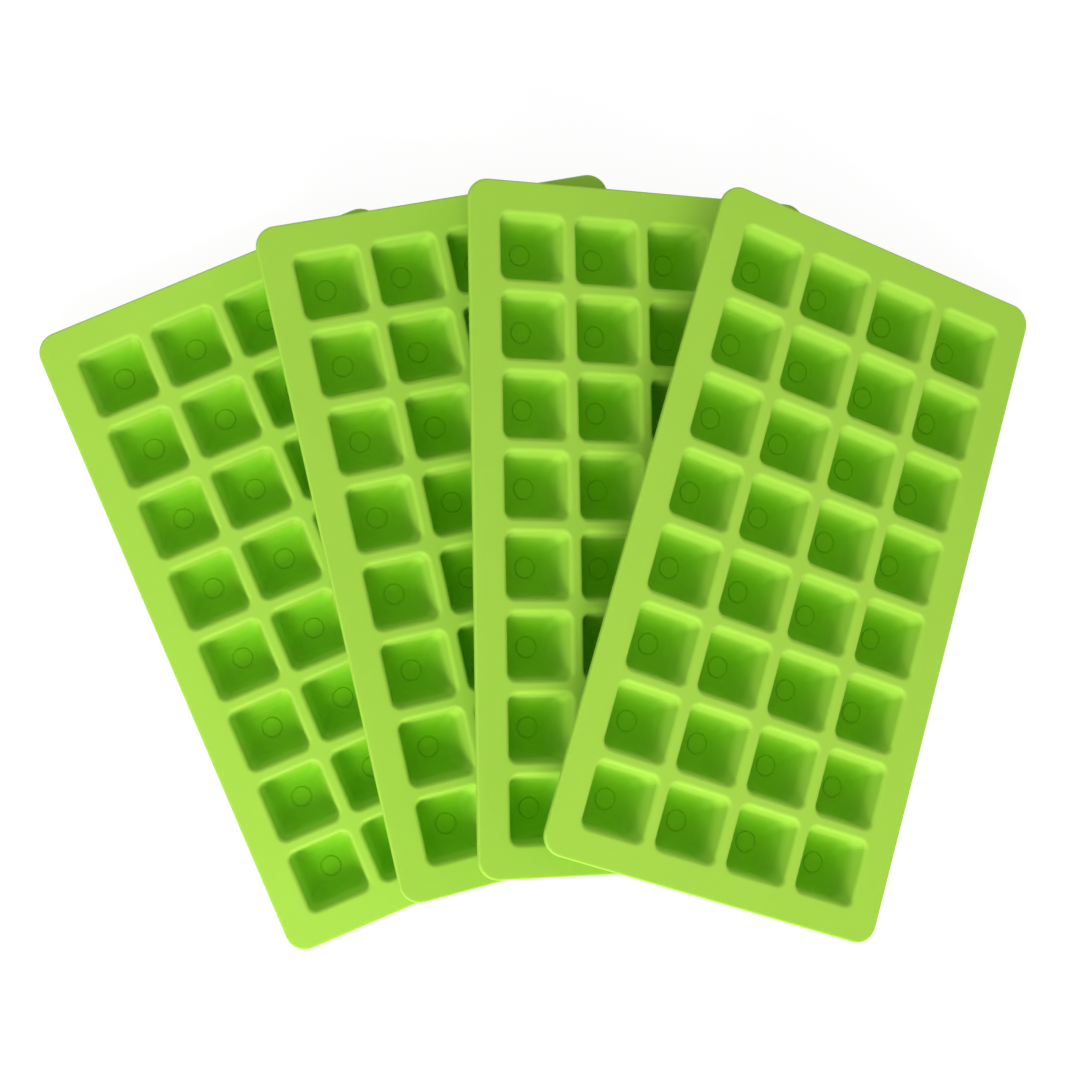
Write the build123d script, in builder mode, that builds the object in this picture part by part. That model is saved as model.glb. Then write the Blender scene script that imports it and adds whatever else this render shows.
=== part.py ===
"""Set of four silicone food mould trays, fanned out so that each one leans on the tray before it."""
import os
from math import asin, degrees, radians, tan

from build123d import *

os.makedirs("parts", exist_ok=True)

# Pockets of one tray, in millimetres and degrees
columns = 4
rows = 8
pitch_across = 25.0
pitch_along = 24.6
rib = 4.0
pocket_depth = 12.0
draft_angle = 10.0
pocket_round = 2.6
floor_round = 5.0
lip_round = 1.5
wall = 1.5
floor = 1.4

# Plain ring sunk in the floor of each pocket
ring_radius = 3.6
ring_width = 0.6
ring_depth = 0.35

# Flange round the pockets
border = 10.35
flange_thickness = 2.0
flange_corner = 6.5
flange_edge_round = 0.6

# Fan: the middle of each tray, its turn seen from above, and how many tray heights its left feet
# stand higher than its right feet and its near feet higher than its far feet
fan = {
    "tray_1": (0.0, 0.0, 22.8, 0.0, 0.0),
    "tray_2": (55.5, 16.3, 12.1, 1.578, 0.625),
    "tray_3": (99.8, 16.7, -1.0, 2.121, 1.320),
    "tray_4": (146.4, 4.6, -19.1, 1.934, 2.124),
}
seat_gap = 0.3
rim_steps = 240

# Worked out from the sizes above
opening_across = pitch_across - rib
opening_along = pitch_along - rib
flange_width = (columns - 1) * pitch_across + opening_across + 2 * border
flange_length = (rows - 1) * pitch_along + opening_along + 2 * border
tray_height = pocket_depth + floor
cup_depth = tray_height - flange_thickness
cup_round = pocket_round + wall
cup_across = opening_across + 2 * wall
cup_along = opening_along + 2 * wall
foot_inset = cup_depth * tan(radians(draft_angle)) + cup_round * tan(radians((90 - draft_angle) / 2))
feet_across = (columns - 1) * pitch_across + cup_across - 2 * foot_inset
feet_along = (rows - 1) * pitch_along + cup_along - 2 * foot_inset


def slanted_edges(block):
    """The edges where the drafted sides of a block meet, down to its flat bottom."""
    return block.edges().filter_by(lambda edge: edge.bounding_box().size.Z > wall)


# Pocket: what is hollow in one cell, with walls that run into the floor, a flared lip and the ring
with BuildPart() as pocket:
    with BuildSketch(Plane.XY):
        Rectangle(opening_across, opening_along)
    extrude(amount=-pocket_depth)
    draft(pocket.faces().filter_by(Axis.Z, reverse=True), Plane.XY, -draft_angle)
    fillet(pocket.faces().sort_by(Axis.Z)[0].edges(), floor_round)
    fillet(slanted_edges(pocket), pocket_round)
    lip = pocket.faces().sort_by(Axis.Z)[-1]
    with BuildSketch(Plane.XY):
        Rectangle(pitch_across, pitch_along)
    extrude(amount=lip_round)
    fillet(pocket.edges().filter_by(lambda edge: lip.distance_to(edge.center()) < rib / 4), lip_round)
    with BuildSketch(Plane.XY.offset(-pocket_depth)):
        Circle(ring_radius)
        Circle(ring_radius - ring_width, mode=Mode.SUBTRACT)
    extrude(amount=-ring_depth)

# Cup: the outside of one cell, below the flange
with BuildPart() as cup:
    with BuildSketch(Plane.XY.offset(-flange_thickness)):
        Rectangle(cup_across, cup_along)
    extrude(amount=-cup_depth)
    draft(cup.faces().filter_by(Axis.Z, reverse=True), Plane.XY.offset(-flange_thickness), -draft_angle)
    fillet(slanted_edges(cup) + cup.faces().sort_by(Axis.Z)[0].edges(), cup_round)

# Tray: flange and cups in one moulding, with the flange's top at Z = 0 and the long side along Y
with BuildPart() as tray:
    with BuildSketch(Plane.XY) as flange_outline:
        RectangleRounded(flange_width, flange_length, flange_corner)
    extrude(amount=-flange_thickness)
    fillet(tray.edges().filter_by(Plane.XY), flange_edge_round)
    with GridLocations(pitch_across, pitch_along, columns, rows):
        add(cup.part)
    with GridLocations(pitch_across, pitch_along, columns, rows):
        add(pocket.part, mode=Mode.SUBTRACT)

# Points that decide how a tray lies: its flange's rim, and the middles of the rounding at its corner feet
rim_wire = flange_outline.sketch.faces()[0].outer_wire()
rim_points = rim_wire.positions([step / rim_steps for step in range(rim_steps)])
foot_corners = [
    (across * feet_across / 2, along * feet_along / 2, cup_round - tray_height)
    for across in (-1, 1)
    for along in (-1, 1)
]


def laid(x, y, turn, left_rise, near_rise):
    """Where a tray lies with its lowest foot on the table."""
    lean = degrees(asin(left_rise * tray_height / feet_across))
    dip = degrees(asin(near_rise * tray_height / feet_along))
    turned = Rotation(0, 0, turn) * Rotation(0, lean, 0) * Rotation(-dip, 0, 0)
    lowest = min((turned * Location(corner)).position.Z for corner in foot_corners)
    return Location((x, y, cup_round - lowest)) * turned


def room_between(lower, upper):
    """The least room between the feet of a tray and the flange of the tray below it."""
    rooms = []
    for point in rim_points:
        seen = (upper.inverse() * lower * Location(point)).position
        if abs(seen.X) < feet_across / 2 and abs(seen.Y) < feet_along / 2:
            rooms.append(-tray_height - seen.Z)
    for corner in foot_corners:
        seen = (lower.inverse() * upper * Location(corner)).position
        if abs(seen.X) < flange_width / 2 and abs(seen.Y) < flange_length / 2:
            rooms.append(seen.Z - cup_round)
    return min(rooms, default=tray_height)


def kept_clear(lower, upper):
    """The place of a tray, lifted where it would come closer than seat_gap to the tray below it."""
    upright = (upper * Location((0, 0, 1))).position.Z - upper.position.Z
    lift = max(seat_gap - room_between(lower, upper), 0) / upright
    return Location((0, 0, lift)) * upper


# Places of the four trays, and the shift that brings the middle of the fan over the origin
spots = {}
for name, place in fan.items():
    spots[name] = laid(*place)
    if len(spots) > 1:
        spots[name] = kept_clear(list(spots.values())[-2], spots[name])
fan_box = Compound(children=[tray.part.moved(spot) for spot in spots.values()]).bounding_box()
to_origin = Location((-fan_box.center().X, -fan_box.center().Y, 0))

for name, spot in spots.items():
    with BuildPart() as placed_tray:
        with Locations(to_origin * spot):
            add(tray.part)
    placed_tray.part.label = name
    export_step(placed_tray.part, f"parts/{name}.step")
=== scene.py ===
"""Four silicone food mould trays, fanned out like shingles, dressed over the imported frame."""
import math

import bmesh
import bpy
from bpy.props import FloatProperty, FloatVectorProperty, IntProperty, PointerProperty
from mathutils import Matrix, Vector


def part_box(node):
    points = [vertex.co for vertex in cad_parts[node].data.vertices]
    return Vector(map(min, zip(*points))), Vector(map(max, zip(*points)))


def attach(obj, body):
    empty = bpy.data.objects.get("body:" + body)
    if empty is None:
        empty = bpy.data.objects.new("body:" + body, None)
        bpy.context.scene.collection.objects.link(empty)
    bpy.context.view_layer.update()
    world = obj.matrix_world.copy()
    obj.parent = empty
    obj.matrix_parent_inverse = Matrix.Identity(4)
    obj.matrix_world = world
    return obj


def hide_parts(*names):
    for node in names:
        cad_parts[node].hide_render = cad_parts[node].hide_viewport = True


bl_info = {
    "name": "Silicone food mould trays",
    "version": (1, 0, 0),
    "blender": (4, 5, 0),
    "location": "View3D > Sidebar > Trays",
    "description": "Moulds the fanned trays over the packed frame and lights them",
    "category": "Object",
}

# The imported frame, and the box that its CAD pieces fill
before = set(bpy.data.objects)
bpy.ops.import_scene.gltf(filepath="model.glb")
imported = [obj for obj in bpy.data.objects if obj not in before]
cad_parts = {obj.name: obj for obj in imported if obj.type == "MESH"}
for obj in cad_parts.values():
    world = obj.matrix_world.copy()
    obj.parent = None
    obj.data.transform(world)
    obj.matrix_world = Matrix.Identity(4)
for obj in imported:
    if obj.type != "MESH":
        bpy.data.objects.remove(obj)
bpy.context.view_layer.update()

# Frame nodes, from the lowest tray to the one on top
TRAYS = ("tray_1", "tray_2", "tray_3", "tray_4")

QUARTER = math.radians(90)

# Steps of a corner's quarter turn and of a straight side, in each loop round a pocket
CORNER_STEPS = 6
SIDE_STEPS = 4

# Steps over a lip and round a cup's foot, and down the bowl of a pocket
ARC_STEPS = 5
BOWL_STEPS = 9

# Steps round a corner of the flange, and over its edge
FLANGE_CORNER_STEPS = 8
FLANGE_EDGE_STEPS = 4

# Least radius of a cup's corners at its foot, in metres
FOOT_CORNER = 0.0015

# Metres under which two points of the border, or of a whole tray, are one
BORDER_MERGE = 1e-7
TRAY_MERGE = 0.00002

# Edges that bend less than this are shaded smooth
SMOOTH_BELOW = math.radians(40)

# The photograph's frame in pixels, the camera's sensor in millimetres and its nearest sight in metres
FRAME_PIXELS = 1080
SENSOR_WIDTH = 36
CLIP_START = 0.01


def colour(code):
    """An sRGB hex value as linear red, green and blue."""
    channels = [int(code[place:place + 2], 16) / 255 for place in (0, 2, 4)]
    return tuple(c / 12.92 if c <= 0.04045 else ((c + 0.055) / 1.055) ** 2.4 for c in channels)


def length(name, description, default):
    """A size in metres that the user can change."""
    return FloatProperty(name=name, description=description, default=default, min=0, precision=4,
                         subtype="DISTANCE", unit="LENGTH")


def share(name, description, default):
    """A part of one that the user can change."""
    return FloatProperty(name=name, description=description, default=default, min=0, max=1, subtype="FACTOR")


def amount(name, description, default, unit="NONE"):
    """A number from nothing up that the user can change."""
    return FloatProperty(name=name, description=description, default=default, min=0, unit=unit)


def spot(name, description, default):
    """A place in metres that the user can change."""
    return FloatVectorProperty(name=name, description=description, default=default, size=3,
                               subtype="TRANSLATION", unit="LENGTH")


class TraySizes(bpy.types.PropertyGroup):
    """Sizes of one tray, and how the four of them lie."""

    columns: IntProperty(name="Columns", description="Pockets across a tray", default=4, min=1)
    rows: IntProperty(name="Rows", description="Pockets along a tray", default=8, min=1)
    pitch_across: length("Pitch across", "From pocket to pocket across a tray", 0.025)
    pitch_along: length("Pitch along", "From pocket to pocket along a tray", 0.0246)
    rib: length("Rib", "Between the mouths of two pockets", 0.004)
    pocket_depth: length("Pocket depth", "From the flange's top to a pocket's floor", 0.012)
    pocket_round: length("Pocket round", "Rounding in a pocket's four corners", 0.0026)
    floor_round: length("Floor round", "Rounding from a pocket's walls to its floor", 0.005)
    lip_round: length("Lip round", "Rounding of a pocket's lip", 0.0015)
    wall: length("Wall", "Thickness of a pocket's walls", 0.0015)
    floor: length("Floor", "Thickness under a pocket's floor", 0.0014)
    ring_radius: length("Ring radius", "Outside of the plain ring sunk in each floor", 0.0036)
    ring_width: length("Ring width", "Width of the ring's groove", 0.0006)
    ring_depth: length("Ring depth", "Depth of the ring's groove", 0.00035)
    border: length("Border", "Flange beside the mouths of the outer pockets", 0.01035)
    flange_thickness: length("Flange thickness", "Thickness of the flange", 0.002)
    flange_corner: length("Flange corner", "Radius of the flange's corners", 0.0065)
    flange_edge_round: length("Edge round", "Rounding of the flange's edges", 0.0006)
    draft: FloatProperty(name="Draft", description="Slant of the pockets' walls",
                         default=math.radians(10), subtype="ANGLE", unit="ROTATION")
    turns: FloatVectorProperty(
        name="Turns", description="Turn of each tray seen from above", size=4, unit="ROTATION",
        default=[math.radians(turn) for turn in (22.8, 12.1, -1.0, -19.1)])
    left_rises: FloatVectorProperty(
        name="Left rises", description="Rise of each tray's left feet over its right ones, in tray heights",
        size=4, default=(0, 1.578, 2.121, 1.934))
    near_rises: FloatVectorProperty(
        name="Near rises", description="Rise of each tray's near feet over its far ones, in tray heights",
        size=4, default=(0, 0.625, 1.320, 2.124))


class SiliconeLook(bpy.types.PropertyGroup):
    """Colour and surface of the silicone."""

    lime: FloatVectorProperty(
        name="Lime", description="Colour of the flange and lips", size=3, subtype="COLOR",
        default=colour("ACDD4D"))
    # Painted shade: a darker green that the material lays down in the pockets in place of the shade there,
    # not a second pigment
    painted_shade_green: FloatVectorProperty(
        name="Leaf", description="Deeper colour down in the pockets", size=3, subtype="COLOR",
        default=colour("76C200"))
    deep_from: share("Deep from", "Share of a pocket's depth where the leaf colour sets in", 0.3)
    deep_to: amount("Deep to", "Share of a pocket's depth where the leaf colour would be full", 1.12)
    cloud: length("Cloud", "Width over which the pigment drifts", 0.03)
    unevenness: share("Unevenness", "Share by which the pigment drifts", 0.03)
    roughness: share("Roughness", "Satin of the moulded skin", 0.5)
    ior: FloatProperty(name="IOR", description="Refraction of silicone rubber", default=1.41, min=1)
    specular: share("Specular level", "Shine of the skin, where 0.5 is what its IOR alone gives", 0.12)
    grain: length("Grain", "Width of the grain that the mould leaves", 0.0004)
    grain_depth: length("Grain depth", "Depth of the grain", 0.00005)
    grain_strength: share("Grain strength", "How much of the grain shows", 0.12)
    glow_through: share("Glow through", "Share of the light that travels under the skin", 0.25)
    glow_reach: length("Glow reach", "How far that light travels", 0.0015)
    glow_tint: FloatVectorProperty(
        name="Glow tint", description="Shares of that reach for red, green and blue", size=3, min=0,
        default=(0.5, 1.0, 0.15))


class StudioSetup(bpy.types.PropertyGroup):
    """Camera, lamps and floor."""

    focal_pixels: amount("Focal length", "In pixels of the photograph's frame", 2000)
    camera_place: spot("Camera place", "Above the fan, a little to its left", (-0.03237, 0.00988, 0.65761))
    camera_tilt: FloatVectorProperty(
        name="Camera tilt", description="Turn about X, Y and Z", size=3, subtype="EULER", unit="ROTATION",
        default=[math.radians(tilt) for tilt in (-0.2929, -2.8335, 0)])
    key: amount("Key", "Power of the soft key lamp", 12.5, unit="POWER")
    key_size: length("Key size", "Side of the square key lamp", 0.6)
    key_place: spot("Key place", "Beyond the trays' near ends", (-0.16, -1.0, 0.78))
    fill: amount("Fill", "Power of the soft lamp above", 1.2, unit="POWER")
    fill_size: length("Fill size", "Side of the square fill lamp", 0.8)
    fill_place: spot("Fill place", "Above, at the near left", (-0.3, -0.3, 1.0))
    sky: amount("Sky", "Strength of the pale room all round", 0.5)
    floor_half: length("Floor half", "Half the side of the paper floor", 3)
    floor_drop: length("Floor drop", "From the trays' feet down to the floor", 0.0002)
    paper: share("Paper", "Share of the light that the paper throws back", 0.8)
    paper_fleck: share("Paper fleck", "By how much that share varies", 0.02)
    paper_grain: length("Paper grain", "Width of the paper's grain", 0.00125)
    glow: amount("Glow", "Brightness of the white that the camera sees", 1.13)
    glow_cover: share("Glow cover", "How far that white covers the paper's own shade", 0.8)


def add_node(tree, kind, inputs=None, **settings):
    """Adds a node with its settings; each input takes a value or another node's output."""
    node = tree.nodes.new(kind)
    for name, value in settings.items():
        setattr(node, name, value)
    for name, value in (inputs or {}).items():
        if isinstance(value, bpy.types.NodeSocket):
            tree.links.new(value, node.inputs[name])
        else:
            node.inputs[name].default_value = value
    return node


def silicone(look):
    """Silicone rubber, compression moulded: satin and slightly see-through, with painted shade that turns it
    a deeper green down in the pockets.
    """
    material = bpy.data.materials.new("silicone_rubber_moulded")
    material.use_nodes = True
    tree = material.node_tree
    tree.nodes.clear()
    place = add_node(tree, "ShaderNodeTexCoord").outputs["Object"]
    depth = add_node(tree, "ShaderNodeAttribute", attribute_name="pocket_depth").outputs["Fac"]
    # Pigment settles a little unevenly over some 30 mm, which the eye sees as a faint cloud
    cloud = add_node(tree, "ShaderNodeTexNoise", {"Vector": place, "Scale": 1 / look.cloud, "Detail": 2.0})
    drift = add_node(tree, "ShaderNodeMapRange", {
        "Value": cloud.outputs["Fac"], "To Min": 1 - look.unevenness, "To Max": 1 + look.unevenness,
    })
    # Painted shade: down in the pockets the colour turns a deeper, darker green, standing in for the shade
    # there and the light that bounces from wall to wall
    deep = add_node(tree, "ShaderNodeMapRange", {
        "Value": depth, "From Min": look.deep_from, "From Max": look.deep_to,
    }, interpolation_type="SMOOTHSTEP")
    lime_and_painted_shade = add_node(tree, "ShaderNodeMix", {0: deep.outputs[0], 6: (*look.lime, 1), 7: (*look.painted_shade_green, 1)},
                    data_type="RGBA")
    paint = add_node(tree, "ShaderNodeHueSaturation", {"Color": lime_and_painted_shade.outputs[2], "Value": drift.outputs[0]})
    # The blasted mould leaves a fine grain, drawn 0.4 mm wide so that it shows
    grain = add_node(tree, "ShaderNodeTexNoise", {"Vector": place, "Scale": 1 / look.grain, "Detail": 3.0})
    bump = add_node(tree, "ShaderNodeBump", {
        "Height": grain.outputs["Fac"], "Strength": look.grain_strength, "Distance": look.grain_depth,
    })
    shader = add_node(tree, "ShaderNodeBsdfPrincipled", {
        "Base Color": paint.outputs[0], "Normal": bump.outputs[0], "Roughness": look.roughness,
        "IOR": look.ior, "Specular IOR Level": look.specular,
        "Subsurface Weight": look.glow_through, "Subsurface Radius": look.glow_tint,
        "Subsurface Scale": look.glow_reach,
    })
    add_node(tree, "ShaderNodeOutputMaterial", {"Surface": shader.outputs[0]})
    return material


def loop_round(half_x, half_y, radius, reach=None):
    """Points of a rounded rectangle, anticlockwise from the corner at the right and near.

    With reach, they lie on the plain rectangle that far outside the corners' centres.
    """
    points = []
    half_steps = CORNER_STEPS // 2
    for quarter in range(4):
        along, out = (half_y, half_x) if quarter % 2 == 0 else (half_x, half_y)
        middle = along - radius
        # The latter half of one corner, the side and the first half of the next corner, in degrees
        side = [(-middle, -45 + 45 * step / half_steps) for step in range(half_steps)]
        side += [(-middle + 2 * middle * step / SIDE_STEPS, 0) for step in range(SIDE_STEPS + 1)]
        side += [(middle, 45 * step / half_steps) for step in range(1, half_steps)]
        for start, angle in side:
            angle = math.radians(angle)
            if reach is None:
                u, v = start + radius * math.sin(angle), out - radius + radius * math.cos(angle)
            else:
                u, v = start + reach * math.tan(angle), out - radius + reach
            points.append(((v, u), (-u, v), (-v, -u), (u, -v))[quarter])
    return points


def circle_round(like, radius):
    """Points on a circle, in the same directions as the points of another loop."""
    return [tuple(radius * part for part in Vector(point).normalized()) for point in like]


def skin(mesh, loops):
    """Spans faces between loops of (points, height), and closes the last one at its middle."""
    rings = [[mesh.verts.new((x, y, height)) for x, y in points] for points, height in loops]
    count = len(rings[0])
    for outer, inner in zip(rings, rings[1:]):
        for step in range(count):
            after = (step + 1) % count
            mesh.faces.new((outer[step], outer[after], inner[after], inner[step]))
    middle = mesh.verts.new((0, 0, loops[-1][1]))
    for step in range(count):
        mesh.faces.new((rings[-1][step], rings[-1][(step + 1) % count], middle))


def mouth(sizes):
    """Half a pocket's mouth, across and along the tray, where its walls would meet the flange's top."""
    return (sizes.pitch_across - sizes.rib) / 2, (sizes.pitch_along - sizes.rib) / 2


def pocket_loops(sizes):
    """Loops of one cell's top side, from the cell's edge over the lip and down to the floor."""
    half_x, half_y = mouth(sizes)
    slope, cosine, sine = math.tan(sizes.draft), math.cos(sizes.draft), math.sin(sizes.draft)
    lip_out = (sizes.lip_round - sizes.lip_round * sine) / cosine
    lip_in = lip_out - sizes.lip_round * cosine
    foot = (sizes.floor_round + (sizes.pocket_depth - sizes.floor_round) * sine) / cosine
    loops = []
    # Over the lip
    for step in range(ARC_STEPS + 1):
        angle = QUARTER - (QUARTER - sizes.draft) * step / ARC_STEPS
        reach = lip_out - sizes.lip_round * math.cos(angle)
        height = -sizes.lip_round + sizes.lip_round * math.sin(angle)
        corner = sizes.pocket_round + reach - lip_in
        loops.append((loop_round(half_x + reach, half_y + reach, corner), height))
    # Halfway down the wall
    wall_top = loops[-1][1]
    wall_foot = -sizes.pocket_depth + sizes.floor_round - sizes.floor_round * sine
    height = (wall_top + wall_foot) / 2
    loops.append((loop_round(half_x + height * slope, half_y + height * slope, sizes.pocket_round), height))
    # Down the bowl, to where the floor is flat
    for step in range(BOWL_STEPS + 1):
        angle = sizes.draft + (QUARTER - sizes.draft) * step / BOWL_STEPS
        reach = sizes.floor_round * math.cos(angle)
        height = -sizes.pocket_depth + sizes.floor_round - sizes.floor_round * math.sin(angle)
        loops.append((loop_round(half_x - foot + reach, half_y - foot + reach, sizes.pocket_round), height))
    # The ring's groove, whose edges are softened by a third of its depth
    edge = loops[-1][0]
    soft = sizes.ring_depth / 3
    outside, inside = sizes.ring_radius, sizes.ring_radius - sizes.ring_width
    for radius, sink in (
        (outside + soft, 0), (outside, soft / 2), (outside - soft, sizes.ring_depth),
        (inside + soft, sizes.ring_depth), (inside, soft / 2), (inside - soft, 0), (outside / 2, 0),
    ):
        loops.append((circle_round(edge, radius), -sizes.pocket_depth - sink))
    return loops


def cup_loops(sizes):
    """Loops of one cell's underside, from the cell's edge down the cup to its foot."""
    half_x, half_y = [half + sizes.wall for half in mouth(sizes)]
    cosine, sine = math.cos(sizes.draft), math.sin(sizes.draft)
    bend = sizes.pocket_round + sizes.wall
    bottom = -sizes.pocket_depth - sizes.floor
    depth = sizes.pocket_depth + sizes.floor - sizes.flange_thickness
    foot = (bend + (depth - bend) * sine) / cosine
    loops = [(loop_round(half_x, half_y, bend), -sizes.flange_thickness)]
    for step in range(ARC_STEPS + 1):
        angle = sizes.draft + (QUARTER - sizes.draft) * step / ARC_STEPS
        reach = bend * math.cos(angle)
        loops.append((loop_round(half_x - foot + reach, half_y - foot + reach, max(reach, FOOT_CORNER)),
                      bottom + bend - bend * math.sin(angle)))
    loops.append((circle_round(loops[-1][0], sizes.ring_radius / 2), bottom))
    return loops


def cell_edge(sizes):
    """The loop on a cell's straight outline, shared by its top, its underside and its neighbours."""
    bend = sizes.pocket_round + sizes.wall
    reach = bend + sizes.rib / 2 - sizes.wall
    half_x, half_y = [half + sizes.wall for half in mouth(sizes)]
    return loop_round(half_x, half_y, bend, reach)


def make_cell(sizes):
    """One pocket with the cup round it: what repeats all over a tray."""
    mesh = bmesh.new()
    skin(mesh, [(cell_edge(sizes), 0), *pocket_loops(sizes)])
    before = set(mesh.faces)
    skin(mesh, [(cell_edge(sizes), -sizes.flange_thickness), *cup_loops(sizes)])
    bmesh.ops.reverse_faces(mesh, faces=[face for face in mesh.faces if face not in before])
    data = bpy.data.meshes.new("cell")
    mesh.to_mesh(data)
    mesh.free()
    return bpy.data.objects.new("cell", data)


def make_border(sizes):
    """The flange outside the cells, over its rounded edge and back underneath."""
    per_side = CORNER_STEPS + SIDE_STEPS
    edge = cell_edge(sizes)
    grid = (sizes.columns * sizes.pitch_across / 2, sizes.rows * sizes.pitch_along / 2)
    half = [span - sizes.rib / 2 + sizes.border for span in grid]
    stations = []
    for quarter in range(4):
        across = quarter % 2
        count, pitch = (sizes.columns, sizes.pitch_across) if across else (sizes.rows, sizes.pitch_along)
        turn = Matrix.Rotation(QUARTER * quarter, 2)
        inner_out, outer_out = grid[across], half[across]
        own = edge[quarter * per_side:(quarter + 1) * per_side]
        side = [turn.inverted() @ Vector(point) for point in own]
        along = [point.y + (cell - (count - 1) / 2) * pitch for cell in range(count) for point in side]
        for place in [*along, grid[1 - across]]:
            stations.append((turn @ Vector((inner_out, place)), turn @ Vector((outer_out, place)),
                             turn @ Vector((1, 0))))
        corner_inner = turn @ Vector((inner_out, grid[1 - across]))
        centre = Vector((outer_out - sizes.flange_corner, half[1 - across] - sizes.flange_corner))
        for step in range(FLANGE_CORNER_STEPS + 1):
            angle = QUARTER * step / FLANGE_CORNER_STEPS
            outward = Vector((math.cos(angle), math.sin(angle)))
            stations.append((corner_inner, turn @ (centre + sizes.flange_corner * outward), turn @ outward))
    # How far in from the outline and how low the rounded edge lies, from the top to the underside
    bend, under = sizes.flange_edge_round, -sizes.flange_thickness
    angles = [QUARTER * step / FLANGE_EDGE_STEPS for step in range(FLANGE_EDGE_STEPS + 1)]
    profile = [(bend * (1 - math.sin(angle)), -bend * (1 - math.cos(angle))) for angle in angles]
    profile += [(inset, under - height) for inset, height in reversed(profile)]
    mesh = bmesh.new()
    rings = [[mesh.verts.new((*inner, 0)) for inner, _, _ in stations]]
    rings += [[mesh.verts.new((*(base - normal * inset), height)) for _, base, normal in stations]
              for inset, height in profile]
    rings.append([mesh.verts.new((*inner, under)) for inner, _, _ in stations])
    for near, far in zip(rings, rings[1:]):
        for step in range(len(stations)):
            after = (step + 1) % len(stations)
            mesh.faces.new((near[step], far[step], far[after], near[after]))
    bmesh.ops.dissolve_degenerate(mesh, dist=BORDER_MERGE, edges=mesh.edges)
    bmesh.ops.remove_doubles(mesh, verts=mesh.verts, dist=BORDER_MERGE)
    data = bpy.data.meshes.new("border")
    mesh.to_mesh(data)
    mesh.free()
    return data


def tray_tree(sizes, cell, material):
    """Geometry Nodes: the cell repeated over a grid inside the border, joined into one skin."""
    tree = bpy.data.node_groups.new("food_tray", "GeometryNodeTree")
    wanted = {
        "Border": ("NodeSocketGeometry", None),
        "Cell": ("NodeSocketObject", cell),
        "Columns": ("NodeSocketInt", sizes.columns),
        "Rows": ("NodeSocketInt", sizes.rows),
        "Pitch across": ("NodeSocketFloat", sizes.pitch_across),
        "Pitch along": ("NodeSocketFloat", sizes.pitch_along),
        "Pocket depth": ("NodeSocketFloat", sizes.pocket_depth),
        "Silicone": ("NodeSocketMaterial", material),
    }
    settings = {}
    for name, (kind, value) in wanted.items():
        socket = tree.interface.new_socket(name, in_out="INPUT", socket_type=kind)
        settings[socket.identifier] = value
    tree.interface.new_socket("Tray", in_out="OUTPUT", socket_type="NodeSocketGeometry")
    given = add_node(tree, "NodeGroupInput").outputs
    spans = []
    for count, pitch in (("Columns", "Pitch across"), ("Rows", "Pitch along")):
        gaps = add_node(tree, "ShaderNodeMath", {0: given[count], 1: 1.0}, operation="SUBTRACT")
        span = add_node(tree, "ShaderNodeMath", {0: gaps.outputs[0], 1: given[pitch]}, operation="MULTIPLY")
        spans.append(span.outputs[0])
    grid = add_node(tree, "GeometryNodeMeshGrid", {
        "Size X": spans[0], "Size Y": spans[1],
        "Vertices X": given["Columns"], "Vertices Y": given["Rows"],
    })
    shape = add_node(tree, "GeometryNodeObjectInfo", {"Object": given["Cell"]})
    cells = add_node(tree, "GeometryNodeInstanceOnPoints", {
        "Points": grid.outputs["Mesh"], "Instance": shape.outputs["Geometry"],
    })
    whole = add_node(tree, "GeometryNodeJoinGeometry", {"Geometry": given["Border"]})
    tree.links.new(cells.outputs["Instances"], whole.inputs["Geometry"])
    solid = add_node(tree, "GeometryNodeRealizeInstances", {"Geometry": whole.outputs[0]})
    joined = add_node(tree, "GeometryNodeMergeByDistance", {
        "Geometry": solid.outputs[0], "Distance": TRAY_MERGE,
    })
    # How far down each point lies inside its pocket, kept for the material, which paints shade from it,
    # before the tray is turned
    point = add_node(tree, "GeometryNodeInputPosition")
    height = add_node(tree, "ShaderNodeSeparateXYZ", {"Vector": point.outputs[0]}).outputs["Z"]
    full = add_node(tree, "ShaderNodeMath", {0: 0.0, 1: given["Pocket depth"]}, operation="SUBTRACT")
    sunk = add_node(tree, "ShaderNodeMapRange", {
        "Value": height, "From Min": 0.0, "From Max": full.outputs[0],
    })
    # Only skin that faces up is inside a pocket; the rest is the outside of its cup, which gets no painted
    # shade
    facing = add_node(tree, "GeometryNodeInputNormal")
    upward = add_node(tree, "ShaderNodeSeparateXYZ", {"Vector": facing.outputs[0]}).outputs["Z"]
    inside = add_node(tree, "ShaderNodeMath", {0: upward, 1: 0.0}, operation="GREATER_THAN")
    inner = add_node(tree, "ShaderNodeMath", {0: sunk.outputs[0], 1: inside.outputs[0]},
                     operation="MULTIPLY")
    stored = add_node(tree, "GeometryNodeStoreNamedAttribute", {
        "Geometry": joined.outputs[0], "Name": "pocket_depth", "Value": inner.outputs[0],
    }, data_type="FLOAT", domain="POINT")
    bend = add_node(tree, "GeometryNodeInputMeshEdgeAngle").outputs["Unsigned Angle"]
    gentle = add_node(tree, "FunctionNodeCompare", {0: bend, 1: SMOOTH_BELOW}, operation="LESS_THAN")
    smooth = add_node(tree, "GeometryNodeSetShadeSmooth", {
        "Geometry": stored.outputs[0], "Shade Smooth": gentle.outputs[0],
    }, domain="EDGE")
    painted = add_node(tree, "GeometryNodeSetMaterial", {
        "Geometry": smooth.outputs[0], "Material": given["Silicone"],
    })
    add_node(tree, "NodeGroupOutput", {"Tray": painted.outputs[0]})
    return tree, settings


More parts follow.
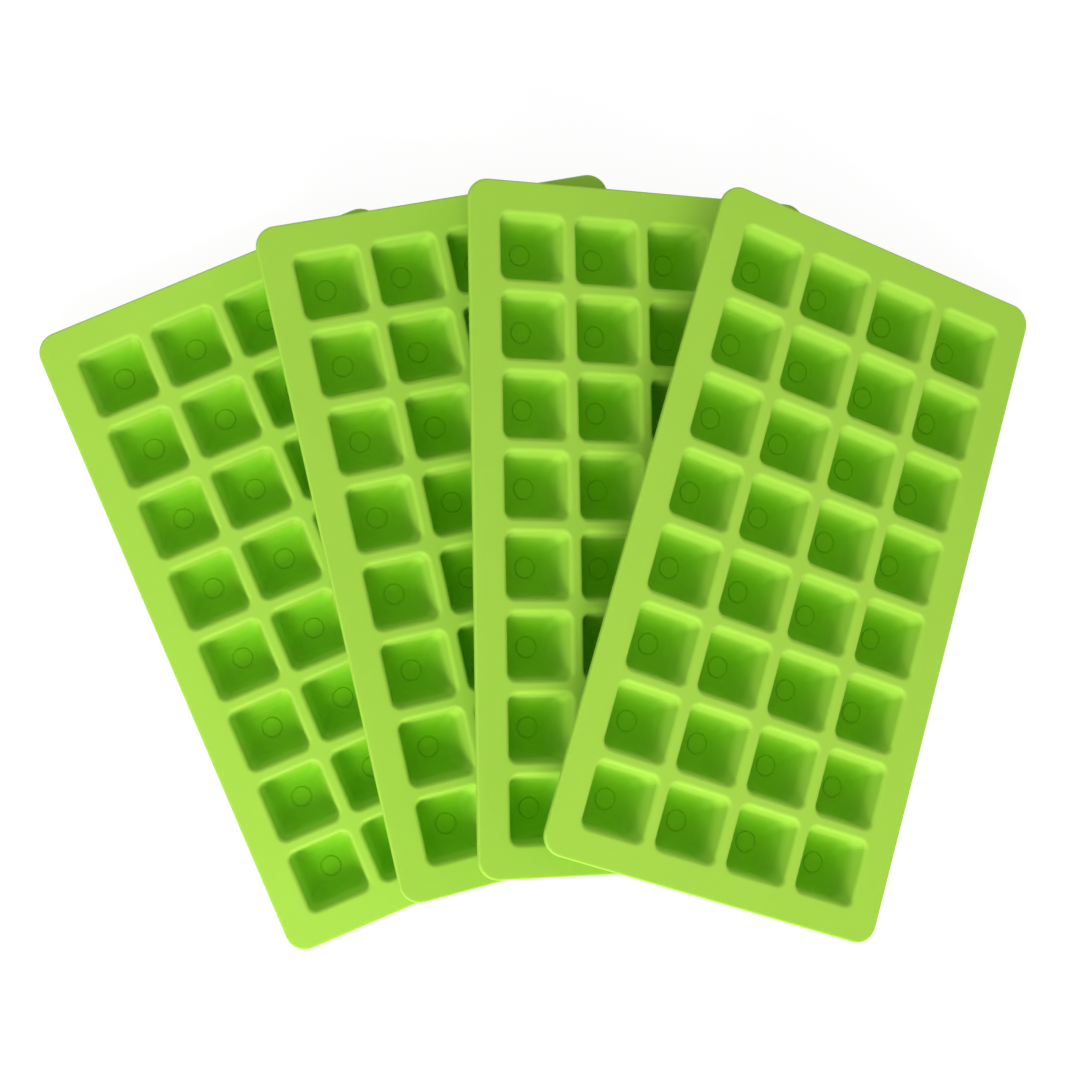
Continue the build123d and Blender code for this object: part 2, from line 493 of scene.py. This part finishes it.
def grow(source, tree, settings, name):
    """Runs a tree on an object and returns its result as a plain mesh."""
    modifier = source.modifiers.new("moulding", "NODES")
    modifier.node_group = tree
    for identifier, value in settings.items():
        if value is not None:
            modifier[identifier] = value
    bpy.context.view_layer.update()
    evaluated = source.evaluated_get(bpy.context.evaluated_depsgraph_get())
    data = bpy.data.meshes.new_from_object(evaluated)
    data.name = name
    source.modifiers.remove(modifier)
    return data


def laid(sizes, index, plain):
    """A copy of the plain tray, turned, leant and dipped as one of the four, in its frame node's box."""
    node = TRAYS[index]
    height = sizes.pocket_depth + sizes.floor
    bend = sizes.pocket_round + sizes.wall
    inset = (height - sizes.flange_thickness) * math.tan(sizes.draft)
    inset += bend * math.tan((QUARTER - sizes.draft) / 2)
    feet_across = sizes.columns * sizes.pitch_across - sizes.rib + 2 * sizes.wall - 2 * inset
    feet_along = sizes.rows * sizes.pitch_along - sizes.rib + 2 * sizes.wall - 2 * inset
    lean = math.asin(sizes.left_rises[index] * height / feet_across)
    dip = math.asin(sizes.near_rises[index] * height / feet_along)
    turned = (Matrix.Rotation(sizes.turns[index], 4, "Z") @ Matrix.Rotation(lean, 4, "Y")
              @ Matrix.Rotation(-dip, 4, "X"))
    data = plain.copy()
    data.name = f"{node}_moulding"
    data.transform(turned)
    lowest = Vector([min(vertex.co[axis] for vertex in data.vertices) for axis in range(3)])
    data.transform(Matrix.Translation(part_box(node)[0] - lowest))
    return data


class TRAYS_OT_mould(bpy.types.Operator):
    """Moulds the four trays and lays each one where its frame node lies"""

    bl_idname = "trays.mould"
    bl_label = "Mould the trays"

    def execute(self, context):
        sizes = context.scene.tray_sizes
        material = silicone(context.scene.silicone_look)
        cell = make_cell(sizes)
        source = bpy.data.objects.new("border", make_border(sizes))
        for helper in (cell, source):
            context.collection.objects.link(helper)
        tree, settings = tray_tree(sizes, cell, material)
        plain = grow(source, tree, settings, "tray")
        if not plain.polygons:
            raise RuntimeError("the trays' tree made no faces")
        for index, node in enumerate(TRAYS):
            tray = bpy.data.objects.new(f"{node}_moulding", laid(sizes, index, plain))
            context.collection.objects.link(tray)
            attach(tray, node)
            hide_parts(node)
        bpy.data.meshes.remove(plain)
        for helper in (cell, source):
            bpy.data.objects.remove(helper)
        return {"FINISHED"}


def backdrop_white(studio):
    """Uncoated white paper: matt, and brighter to the camera and to reflections than the light makes it."""
    material = bpy.data.materials.new("paper_white")
    material.use_nodes = True
    tree = material.node_tree
    tree.nodes.clear()
    rays = add_node(tree, "ShaderNodeLightPath").outputs
    looked = add_node(tree, "ShaderNodeMath", {0: rays["Is Camera Ray"], 1: rays["Is Glossy Ray"]},
                      operation="MAXIMUM")
    seen = add_node(tree, "ShaderNodeMath", {0: looked.outputs[0], 1: rays["Is Transmission Ray"]},
                    operation="MAXIMUM")
    # Its fibres leave a grain, drawn 1.25 mm wide so that it shows
    place = add_node(tree, "ShaderNodeTexCoord").outputs["Object"]
    grain = add_node(tree, "ShaderNodeTexNoise", {"Vector": place, "Scale": 1 / studio.paper_grain})
    tint = add_node(tree, "ShaderNodeMapRange", {
        "Value": grain.outputs["Fac"],
        "To Min": studio.paper - studio.paper_fleck, "To Max": studio.paper + studio.paper_fleck,
    })
    paper = add_node(tree, "ShaderNodeBsdfDiffuse", {"Color": tint.outputs[0]})
    glow = add_node(tree, "ShaderNodeEmission", {"Color": (1, 1, 1, 1), "Strength": studio.glow})
    lit = add_node(tree, "ShaderNodeMixShader", {
        0: studio.glow_cover, 1: paper.outputs[0], 2: glow.outputs[0],
    })
    both = add_node(tree, "ShaderNodeMixShader", {
        0: seen.outputs[0], 1: paper.outputs[0], 2: lit.outputs[0],
    })
    add_node(tree, "ShaderNodeOutputMaterial", {"Surface": both.outputs[0]})
    return material


class TRAYS_OT_stage(bpy.types.Operator):
    """Sets the floor, the lamps, the pale room and the camera"""

    bl_idname = "trays.stage"
    bl_label = "Set the stage"

    def execute(self, context):
        studio = context.scene.studio_setup
        mesh = bmesh.new()
        bmesh.ops.create_grid(mesh, x_segments=1, y_segments=1, size=studio.floor_half)
        data = bpy.data.meshes.new("floor")
        mesh.to_mesh(data)
        mesh.free()
        data.transform(Matrix.Translation((0, 0, -studio.floor_drop)))
        data.materials.append(backdrop_white(studio))
        floor = bpy.data.objects.new("floor", data)
        context.collection.objects.link(floor)

        for name, power, size, place in (
            ("key_lamp", studio.key, studio.key_size, studio.key_place),
            ("fill_lamp", studio.fill, studio.fill_size, studio.fill_place),
        ):
            lamp = bpy.data.lights.new(name, "AREA")
            lamp.shape = "SQUARE"
            lamp.size = size
            lamp.energy = power
            holder = bpy.data.objects.new(name, lamp)
            holder.location = place
            holder.rotation_euler = (-Vector(place)).to_track_quat("-Z", "Y").to_euler()
            context.collection.objects.link(holder)

        room = context.scene.world or bpy.data.worlds.new("room")
        context.scene.world = room
        room.use_nodes = True
        background = room.node_tree.nodes["Background"]
        background.inputs["Color"].default_value = (1, 1, 1, 1)
        background.inputs["Strength"].default_value = studio.sky

        camera = bpy.data.cameras.new("camera")
        camera.sensor_fit = "HORIZONTAL"
        camera.sensor_width = SENSOR_WIDTH
        camera.lens = SENSOR_WIDTH * studio.focal_pixels / FRAME_PIXELS
        camera.clip_start = CLIP_START
        holder = bpy.data.objects.new("camera", camera)
        holder.location = studio.camera_place
        holder.rotation_euler = studio.camera_tilt
        context.collection.objects.link(holder)
        context.scene.camera = holder
        context.scene.view_settings.view_transform = "Standard"
        return {"FINISHED"}


class TRAYS_PT_panel(bpy.types.Panel):
    """Sizes, looks and steps of the trays"""

    bl_label = "Silicone trays"
    bl_idname = "TRAYS_PT_panel"
    bl_space_type = "VIEW_3D"
    bl_region_type = "UI"
    bl_category = "Trays"

    def draw(self, context):
        for group in (context.scene.tray_sizes, context.scene.silicone_look, context.scene.studio_setup):
            box = self.layout.box()
            for name in group.__annotations__:
                box.prop(group, name)
        self.layout.operator(TRAYS_OT_mould.bl_idname)
        self.layout.operator(TRAYS_OT_stage.bl_idname)


CLASSES = (TraySizes, SiliconeLook, StudioSetup, TRAYS_OT_mould, TRAYS_OT_stage, TRAYS_PT_panel)


def register():
    for item in CLASSES:
        bpy.utils.register_class(item)
    bpy.types.Scene.tray_sizes = PointerProperty(type=TraySizes)
    bpy.types.Scene.silicone_look = PointerProperty(type=SiliconeLook)
    bpy.types.Scene.studio_setup = PointerProperty(type=StudioSetup)


def unregister():
    del bpy.types.Scene.studio_setup
    del bpy.types.Scene.silicone_look
    del bpy.types.Scene.tray_sizes
    for item in reversed(CLASSES):
        bpy.utils.unregister_class(item)


def main():
    register()
    bpy.ops.trays.mould()
    bpy.ops.trays.stage()


if __name__ == "__main__":
    main()
